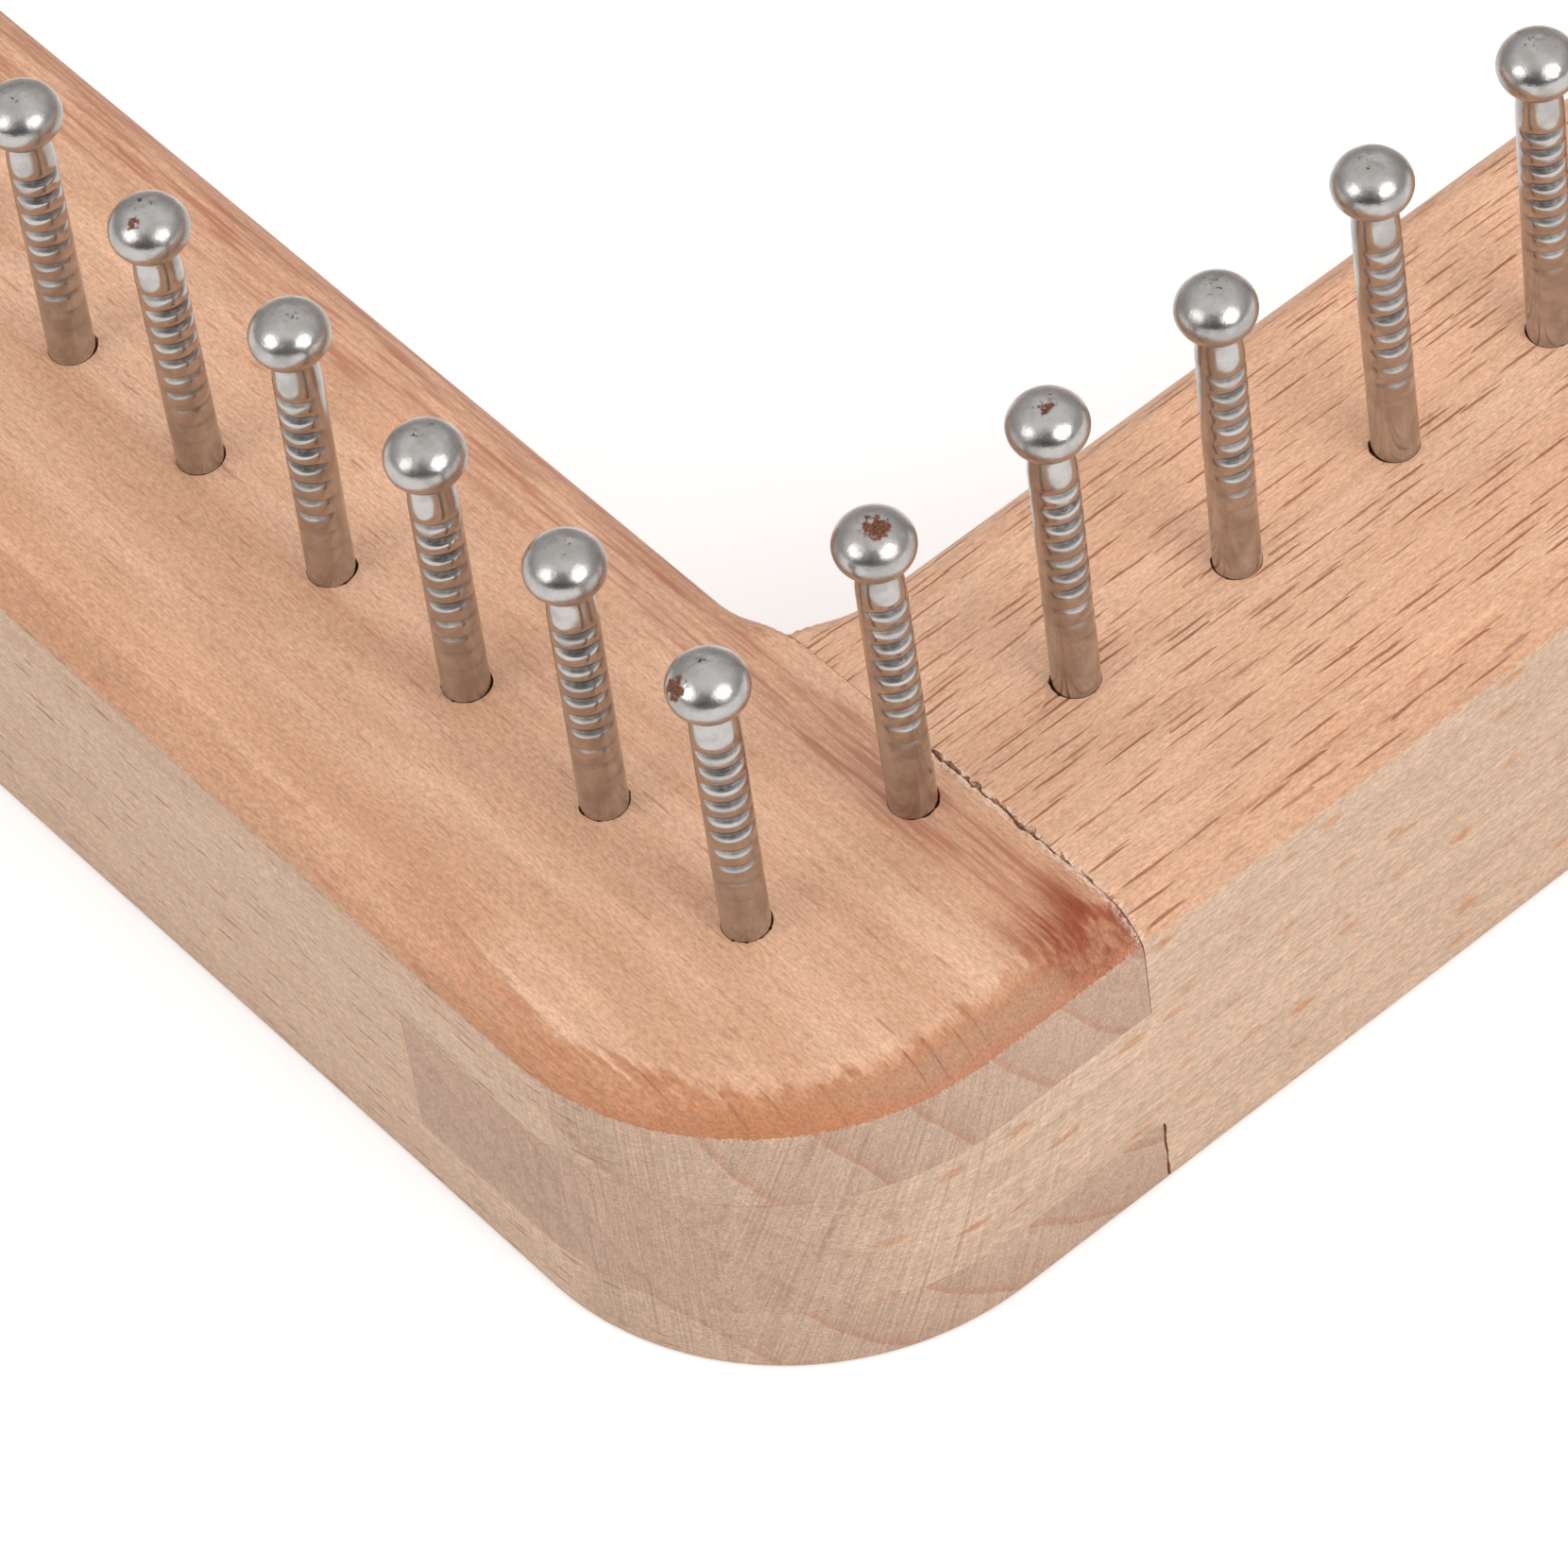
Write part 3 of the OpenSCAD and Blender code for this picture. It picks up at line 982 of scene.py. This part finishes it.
def addNailAt(skin, side, i, seed):
    # one nail, as noted for those near the camera and by chance for the rest
    x, y = nailPlace(side, i)
    chance = np.random.default_rng(seed)
    step = (round((x + loom["row"]) / pitch), round((y + loom["row"]) / pitch))
    onFork = side in ("left", "right")
    full = (loom["forkNailTop"] if onFork else loom["tenonNailTop"]) - loom["top"]
    note = nearNails.get(step)
    if note is None:
        lean = chance.uniform(0, 2 * math.pi)
        far = nail["lean"] * chance.uniform(0.1, 1)
        ranges = ((0, 360), (20, 80), (0.2, 0.45), (0.4, 0.9))
        spots = [tuple(chance.uniform(low, high) for low, high in ranges)]
        note = {
            "shift": (far * math.cos(lean), far * math.sin(lean)),
            "rise": -nail["driveDepth"] * chance.uniform(0, 1),
            "turn": chance.uniform(0, 360), "stains": spots[:int(chance.integers(0, 2))]}
    rise = full + (note["rise"] if onFork else min(0.0, note["rise"]))
    addNail(skin, x, y, rise, note["turn"] + turnToCamera, note["shift"], note["stains"], seed)


def makeNailPiece(name, node, nails, material):
    # one piece made of nails, each given as its side, its place along it and its seed
    skin = Skin("groove", "stain", "crown", "head")
    for side, i, seed in nails:
        addNailAt(skin, side, i, seed)
    makePiece(name, skin, (1, 1, 1), {}, [node], material, nail["creaseAngle"])


def makeNails(material):
    # four corner nails, and four nails to a piece along each side
    last = loom["nailsPerSide"] - 1
    corners = {
        "front_left": ("left", 0), "front_right": ("right", 0), "back_right": ("right", last),
        "back_left": ("left", last)}
    for number, (corner, (side, i)) in enumerate(corners.items()):
        name = "cornerNail" + corner.title().replace("_", "")
        makeNailPiece(name, "corner_nail_" + corner, [(side, i, 500 + number)], material)
    count = loom["nailsPerGroup"]
    for number, side in enumerate(("front", "right", "back", "left")):
        for group in range((loom["nailsPerSide"] - 2) // count):
            numbers = range(group * count + 1, (group + 1) * count + 1)
            nails = [(side, i, 600 + number * 100 + i) for i in numbers]
            makeNailPiece(f"{side}Nails{group + 1}", f"nails_{side}_{group + 1}", nails, material)


# Finishes
def dashes(cellLength, cellWidth, length, width, share, softness):
    # settings of a pattern of dashes, the first four in millimetres
    return {
        "Cell Length": cellLength, "Cell Width": cellWidth, "Length": length, "Width": width, "Share": share,
        "Softness": softness}


beech = {
    "pale": (223, 178, 147),
    "middle": (208, 159, 127),
    "band": (206, 148, 112),
    "line": (184, 124, 92),
    "pore": (176, 120, 92),
    "endRaw": (182, 118, 74),
    "arris": (190, 122, 86),
    "endEdge": (177, 131, 102),
    "endSanded": (194, 161, 140),
    "sanded": (213, 181, 155),
    "ray": (168, 132, 110),
    "streak": (172, 98, 72),
    "knot": (146, 66, 32),
    "scratch": (172, 138, 112),
    "edgeLine": (158, 92, 58),
    "dust": (224, 205, 190),
    "edgeDashes": dashes(7.0, 1.3, 9.0, 0.26, 0.85, 0.7),
    "endWarmth": 0.9,
    "cornerWarmth": 0.95,
    "endEdgeStrength": 0.75,
    "edgeLineStrength": 0.85,
    "arrisStrength": 0.85,
    "dryStreakShare": 0.35,
    "scratchDepth": 0.45,
    "scratchLines": ({"Slant": 0.0, "Spacing": 0.085}, {"Slant": 0.36, "Spacing": 0.1}),
    "dustAside": (0.42, 0.12),
    "dustDepth": (8, 11),
    "dustHeight": (16.9, 17.6),
    "dustStrength": 0.6,
    "outerStrip": (12, 15),
    "rimStrip": (18.4, 21.6),
    "arrisStart": (16.9, 17.3),
    "arrisBand": (18.2, 17.3),
    "endEdgeRun": (1.0, 1.9),
    "liftReach": (74.0, 48.0),
    "mottle": 0.29,
    "streakInner": (14.2, 15.2),
    "streakOuter": (18.6, 16.8),
    "streakStrength": 0.0,
    "knotAlong": (91.0, 95.0),
    "knotInner": (13.4, 14.4),
    "knotOuter": (19.5, 17.0),
    "knotStrength": 0.0,
    "bumpStrength": 0.4,
    "bumpDistance": 0.00006,
    "oiledRoughness": 0.55,
    "dryRoughness": 0.75,
}
# Settings that the fork rails and the tenon rails each have of their own
forkLook = {
    **beech,
    "turn": math.pi / 2,
    "pith": (0, 61.3, -27.5),
    "figure": {"Ring Width": 3.7, "Ring Phase": 0.75, "Pore Length": 0.9, "Pore Width": 0.11},
    "ringStrength": 0.1,
    "endRingStrength": 0.4,
    "bandStrength": 0.1,
    "endBandStrength": 0.3,
    "rayStrength": 0.2,
    "poreStrength": 0.42,
    "dryPoreStrength": 0.25,
    "topDashes": dashes(4.2, 1.1, 2.6, 0.3, 0.4, 0.9),
    "topDashColour": (184, 118, 92),
    "topDashStrength": 0.75,
    "sideDashes": dashes(3.4, 0.8, 2.4, 0.24, 0.7, 0.7),
    "sideDashColour": (156, 110, 82),
    "sideDashStrength": 0.9,
    "streakStrength": 0.9,
    "knotStrength": 1.0,
    "edgeWarmth": 0.52,
    "middleLift": 1.06,
    "rimWarmth": 0.27,
    "endSanded": (197, 166, 144),
    "cornerShade": 1.0,
    "strands": 0.03,
    "scratchStrength": 0.25,
}
tenonLook = {
    **beech,
    "middle": (213, 165, 133),
    "turn": 0.0,
    "pith": (0, 45, 30),
    "figure": {"Ring Width": 2.6, "Ring Phase": 0.5, "Pore Length": 1.1, "Pore Width": 0.11},
    "ringStrength": 0.08,
    "endRingStrength": 0.18,
    "bandStrength": 0.12,
    "endBandStrength": 0.12,
    "rayStrength": 0.3,
    "poreStrength": 0.34,
    "dryPoreStrength": 0.2,
    "topDashes": dashes(3.4, 0.58, 4.4, 0.2, 0.72, 0.45),
    "topDashColour": (146, 84, 54),
    "topDashStrength": 0.9,
    "sideDashes": dashes(3.4, 1.7, 2.6, 0.75, 0.4, 0.7),
    "sideDashColour": (200, 142, 100),
    "sideDashStrength": 0.8,
    "edgeWarmth": 0.25,
    "middleLift": 1.13,
    "rimWarmth": 0.0,
    "cornerShade": 0.97,
    "strands": 0.05,
    "scratchStrength": 0.2,
}


def beechMaterial(name, look):
    # oiled beech above the arris and dry sanded beech below it, both cut from the same solid figure
    material = startTree(bpy.data.materials.new(name))
    coordinates = put("TexCoord")
    # millimetres, turned so that the grain runs along X, with the pith on the X axis
    mapped = put("Mapping", {
        "Vector": coordinates["Object"], "Location": look["pith"], "Rotation": (0, 0, look["turn"]),
        "Scale": (perMetre, perMetre, perMetre)})[0]
    spot = put("SeparateXYZ", {0: mapped})
    height = spot[2] - look["pith"][2]
    figure = put("Group", {"Place": mapped, **look["figure"]}, node_tree=woodFigure)
    fibre, strand, fuzz, radius = [figure[label] for label in ("Fibre", "Strand", "Fuzz", "Radius")]
    normal = put("SeparateXYZ", {0: coordinates["Normal"]})
    faceX, faceY, upright = [abs(normal[axis]) for axis in range(3)]
    facing, beside = (faceX, faceY) if look["turn"] == 0 else (faceY, faceX)
    corner = attribute("corner")
    sanded = fade(attribute("sanded") + fade(fuzz, 0.3, 0.7, -0.3, 0.3), 0.32, 0.68)
    # the belt that sanded the corner has blurred the end grain on the part of the bend next to the Y side
    bent = fade(faceX, 0.35, 0.8) * fade(faceX, 0.999, 0.985) * 0.8
    end = mixedNumber(sanded, fade(facing, 0.15, 0.55), mixedNumber(bent, fade(facing, 0.25, 0.8), 0.75))
    side = 1.0 - fade(facing, 0.25, 0.6)
    upward = fade(upright, 0.25, 0.5)
    topDashes, sideDashes, edgeDashes = [
        put("Group", {"Along": spot[0], "Across": across, **look[kind]}, node_tree=woodDashes)["Mask"]
        for kind, across in (("topDashes", spot[1]), ("sideDashes", height), ("edgeDashes", spot[1]))]
    # the oiled colour
    soft = blend(fade(figure["Tone"], 0.32, 0.68), paint(*look["pale"]), paint(*look["middle"]))
    soft = stained(soft, figure["Depth"] * look["bandStrength"], look["band"])
    # how far a place on the rounded top edge lies from the flat top, and so its share of the warmer colour
    inFrame = put("SeparateXYZ", {0: coordinates["Object"]})
    aside = abs(inFrame[0]) * perMetre - loom["innerX"]
    deepIn = abs(inFrame[1]) * perMetre - loom["innerY"]
    outer = fade(highest(aside, deepIn), *look["outerStrip"])
    drop = highest(calc("SUBTRACT", loom["top"], height), 0.0)
    run = calc("SQRT", drop * highest(2 * rail["edgeRadius"] - drop, 0.0))
    patchy = run + fade(fibre, 0.3, 0.7, -0.5, 0.5) + fade(corner, 0.0, 1.0, 0.5, 0.0)
    aboveArris = fade(height, *look["arrisStart"])
    rounded = fade(patchy, 0.7, 1.4) * outer * aboveArris * fade(run, 0.02, 0.2)
    warm = mixedNumber(corner, look["edgeWarmth"], look["cornerWarmth"])
    warm = rounded * warm * fade(strand, 0.35, 0.6, 1.0, 0.72)
    # away from the corners the warmth spreads a little on to the flat top
    spread = fade(aside, *look["rimStrip"]) * fade(corner, 0.5, 0.0) * aboveArris * look["rimWarmth"]
    soft = stained(soft, highest(end * look["endWarmth"], highest(warm, spread)), look["endRaw"])
    # the rounded edge turns greyer where it cuts straight across the fibres
    straight = fade(beside, 0.42, 0.12) * fade(run, *look["endEdgeRun"]) * outer * end
    soft = stained(soft, straight * look["endEdgeStrength"], look["endEdge"])
    broken = fade(fibre, 0.36, 0.62, 0.3, 1.0)
    streak = fade(radius, *look["streakInner"]) * fade(radius, *look["streakOuter"]) * broken
    streak = streak * fade(strand, 0.42, 0.6, 0.25, 1.0) * fade(fuzz, 0.35, 0.62, 0.5, 1.0)
    streak = streak * look["streakStrength"]
    soft = stained(soft, streak, look["streak"])
    soft = stained(soft, edgeDashes * rounded * corner * look["edgeLineStrength"], look["edgeLine"])
    knot = fade(spot[0], *look["knotAlong"]) * fade(radius, *look["knotInner"])
    knot = knot * fade(radius, *look["knotOuter"]) * broken * look["knotStrength"]
    soft = stained(soft, knot, look["knot"])
    arris = fade(height, *look["arrisBand"]) * aboveArris * end * outer * fade(fuzz, 0.35, 0.6, 0.4, 1.0)
    soft = stained(soft, arris * look["arrisStrength"], look["arris"])
    # the sanded colour
    dry = blend(end, paint(*look["sanded"]), paint(*look["endSanded"]))
    dry = stained(dry, figure["Depth"] * mixedNumber(end, 0.06, look["endBandStrength"]), look["ray"])
    dry = stained(dry, streak * look["dryStreakShare"], look["streak"])
    base = blend(sanded, soft, dry)
    # rings, rays, pores and dashes
    rings = figure["Ring"] * mixedNumber(end, look["ringStrength"], look["endRingStrength"])
    base = stained(base, rings, look["line"])
    base = stained(base, figure["Rays"] * end * look["rayStrength"], look["ray"])
    pores = figure["Pores"] * mixedNumber(sanded, look["poreStrength"], look["dryPoreStrength"])
    base = stained(base, pores, look["pore"])
    onTop = topDashes * side * upward * look["topDashStrength"]
    onSides = sideDashes * side * (1.0 - upward) * look["sideDashStrength"]
    base = stained(stained(base, onTop, look["topDashColour"]), onSides, look["sideDashColour"])
    # sanding scratches, upright on one side of a corner and aslant on the other
    around = attribute("around")
    straightUp, aslant = [
        put("Group", {"Around": around, "Height": height, **lines}, node_tree=sandingMarks)
        for lines in look["scratchLines"]]
    turned = fade(faceX, 0.7, 0.86)
    fine, deep = [mixedNumber(turned, aslant[label], straightUp[label]) for label in ("Fine", "Deep")]
    worn = sanded * mixedNumber(corner, look["scratchStrength"], 1.0)
    base = stained(base, fade(deep, 0.6, 0.7) * worn * look["scratchDepth"], look["scratch"])
    # pale dust along the top of the joints
    dust = fade(abs(aside), *look["dustAside"]) * fade(deepIn, *look["dustDepth"])
    dust = dust * fade(height, *look["dustHeight"]) * fade(fuzz, 0.42, 0.58) * look["dustStrength"]
    base = stained(base, dust, look["dust"])
    # the tops are a little paler away from the corners
    inner = fade(normal[2], 0.9, 0.99) * fade(abs(spot[0]), *look["liftReach"])
    shade = fade(corner * sanded, 0.0, 1.0, 1.0, look["cornerShade"])
    shade = shade * fade(inner, 0.0, 1.0, 1.0, look["middleLift"])
    light = shade + fade(fine, 0.25, 0.75, -0.14, 0.14) * worn
    mottle = fade(fuzz, 0.22, 0.78, 1 - look["mottle"], 1 + look["mottle"])
    strands = fade(strand, 0.3, 0.7, 1 + look["strands"], 1 - look["strands"])
    hazy = fade(fibre, 0.3, 0.7, 1.04, 0.96) * strands
    relief = mixedNumber(worn, fuzz - figure["Pores"] * 0.5, fine)
    shader = put("BsdfPrincipled", {
        "Base Color": scaled(base, mottle * hazy * light),
        "Roughness": mixedNumber(sanded, look["oiledRoughness"], look["dryRoughness"]),
        "Normal": put("Bump", {
            "Strength": look["bumpStrength"], "Distance": look["bumpDistance"], "Height": relief})[0]})
    put("OutputMaterial", {0: shader[0]})
    return material


steel = {
    "bright": (190, 186, 183),
    "dull": (171, 167, 163),
    # dark colour painted as shade in the tooth marks
    "groove": (88, 82, 80),
    "rust": (138, 74, 42),
    "soot": (66, 48, 38),
    "clouds": 900.0,
    "specks": 3600.0,
    "pits": 9000.0,
    "dents": 1700.0,
    "drawnLines": (5200, 5200, 160),
    "headShade": 0.96,
    "markStrength": 0.85,
    "dentDepth": 3.4,
    "bumpStrength": 0.35,
    "bumpDistance": 0.00002,
    "headRoughness": 0.1,
    "stainAndShadeRoughness": 0.35,
}


def nailMaterial():
    # drawn steel wire: cloudy reflections, painted shade in the tooth marks, brown stains and dark marks on
    # the crowns
    material = startTree(bpy.data.materials.new("nailSteel"))
    position = put("TexCoord")["Object"]
    cloud = noise(position, steel["clouds"], 3.0, 0.55)
    speck = noise(position, steel["specks"], roughness=0.6)
    pitted = noise(position, steel["pits"], roughness=0.6)
    dent = noise(position, steel["dents"], 3.0, 0.6)
    drawn = noise(vectors("MULTIPLY", position, steel["drawnLines"]))
    groove, stain, crown, head = [attribute(label) for label in ("groove", "stain", "crown", "head")]
    colour = blend(fade(cloud, 0.35, 0.65), paint(*steel["bright"]), paint(*steel["dull"]))
    colour = scaled(colour, fade(head, 0.0, 1.0, 1.0, steel["headShade"]))
    # painted shade along the ledges of the tooth marks, mottled with specks
    colour = stained(colour, groove * fade(speck, 0.35, 0.6, 0.65, 0.95), steel["groove"])
    patch = fade(stain + fade(speck, 0.3, 0.7, -0.2, 0.2), 0.42, 0.7) * fade(stain, 0.05, 0.2)
    brown = blend(fade(pitted, 0.35, 0.65), paint(*steel["rust"]), paint(*steel["soot"]))
    marks = fade(speck, 0.6, 0.68) * fade(crown, 0.25, 0.7)
    colour = stained(blend(patch, colour, brown), marks * steel["markStrength"], steel["soot"])
    relief = pitted * fade(cloud, 0.42, 0.62, 0.15, 1.0) * 0.5 + (cloud + drawn * 0.25)
    relief = relief + head * dent * steel["dentDepth"]
    rough = fade(cloud, 0.35, 0.65, 0.14, 0.22) + head * steel["headRoughness"]
    shader = put("BsdfPrincipled", {
        "Base Color": colour,
        "Roughness": rough + highest(highest(patch, marks), groove) * steel["stainAndShadeRoughness"],
        "Metallic": 1.0 - patch * 0.8,
        "Normal": put("Bump", {
            "Strength": steel["bumpStrength"], "Distance": steel["bumpDistance"], "Height": relief})[0]})
    put("OutputMaterial", {0: shader[0]})
    return material


forkWood = beechMaterial("forkBeech", forkLook)
tenonWood = beechMaterial("tenonBeech", tenonLook)
steelFinish = nailMaterial()
print("finishes ready")

makeForkRail("leftForkRail", 1, 100, "fork_rail_left", forkWood)
makeForkRail("rightForkRail", -1, 200, "fork_rail_right", forkWood)
makeTenonRail("frontTenonRail", 1, 300, "tenon_rail_front", tenonWood)
makeTenonRail("backTenonRail", -1, 400, "tenon_rail_back", tenonWood)
print("rails made")
makeNails(steelFinish)
print("nails made")

# Studio
studio = {
    "floorSize": 6,
    "floorLevel": -0.0001,
    "floorGlow": 0.36,
    "floorInSteel": 0.8,
    "low": 0.46,
    "high": 0.97,
    "behindCamera": 0.08,
    "between": 0.8,
    "left": {"towards": (-0.783, 0.002, 0.621), "distance": 0.7, "size": 0.42, "power": 1.12},
    "right": {"towards": (0.552, -0.017, 0.834), "distance": 0.7, "size": 0.52, "power": 2.33},
}


def makeFloor():
    # a wide flat sheet just under the frame, pale to the camera but still holding the shadow
    half = studio["floorSize"] / 2
    mesh = bpy.data.meshes.new("floor")
    corners = [(-half, -half), (half, -half), (half, half), (-half, half)]
    mesh.from_pydata([(x, y, studio["floorLevel"]) for x, y in corners], [], [(0, 1, 2, 3)])
    mesh.materials.append(startTree(bpy.data.materials.new("paper")))
    light = put("LightPath")
    plain = put("BsdfDiffuse", {"Color": (0.8, 0.8, 0.8, 1)})[0]
    glow = put("Emission", {"Strength": studio["floorGlow"]})[0]
    both = put("AddShader", {0: plain, 1: glow})[0]
    seen = highest(light["Is Camera Ray"], light["Is Glossy Ray"] * studio["floorInSteel"])
    put("OutputMaterial", {0: put("MixShader", {0: seen, 1: plain, 2: both})[0]})
    floor = bpy.data.objects.new("floor", mesh)
    bpy.context.scene.collection.objects.link(floor)


def makeWorld():
    # white to the camera, and for everything else a room that is lighter overhead
    bpy.context.scene.world = startTree(bpy.data.worlds.new("studio"))
    light = put("LightPath")
    direction = put("TexCoord")["Generated"]
    rise = put("SeparateXYZ", {0: direction})[2]
    room = fade(rise, 0.15, 0.85, studio["low"], studio["high"])
    flat = np.array([towardsCamera[0], towardsCamera[1], 0])
    flat /= np.linalg.norm(flat)
    towards, sideways = [
        put("VectorMath", {0: direction, 1: tuple(axis)}, operation="DOT_PRODUCT")["Value"]
        for axis in (flat, imageRight)]
    # the dark of the camera's side low down
    dark = fade(towards, 0.3, 0.75) * fade(rise, 0.72, 0.35)
    # the camera and whoever holds it stand between the lamps, which only the nail heads show
    narrow = fade(abs(sideways + 0.07), 0.45, 0.2) * fade(towards, 0.1, 0.3) * fade(rise, 0.9, 0.72)
    narrow = narrow * light["Is Glossy Ray"] * studio["between"]
    room = mixedNumber(highest(dark, narrow), room, studio["behindCamera"])
    strength = mixedNumber(light["Is Camera Ray"], room, 1.0)
    put("OutputWorld", {0: put("Background", {"Color": (1, 1, 1, 1), "Strength": strength})[0]})


def makeLamp(name):
    # a round soft box in a direction given across, up and towards the camera, facing the front left nail
    lamp = studio[name]
    across, up, near = lamp["towards"]
    direction = across * imageRight + up * imageUp + near * towardsCamera
    direction /= np.linalg.norm(direction)
    target = np.array([-loom["row"], -loom["row"], loom["top"]]) / perMetre
    data = bpy.data.lights.new(name, "AREA")
    data.shape = "DISK"
    data.size = lamp["size"]
    data.energy = lamp["power"]
    level = np.cross([0, 0, 1], direction)
    level /= np.linalg.norm(level)
    turn = Matrix([level, np.cross(direction, level), direction]).transposed().to_4x4()
    box = bpy.data.objects.new(name, data)
    box.matrix_world = Matrix.Translation(target + direction * lamp["distance"]) @ turn
    bpy.context.scene.collection.objects.link(box)


makeFloor()
makeWorld()
for lampName in ("left", "right"):
    makeLamp(lampName)
bpy.context.scene.view_settings.view_transform = "Standard"
print("studio ready")
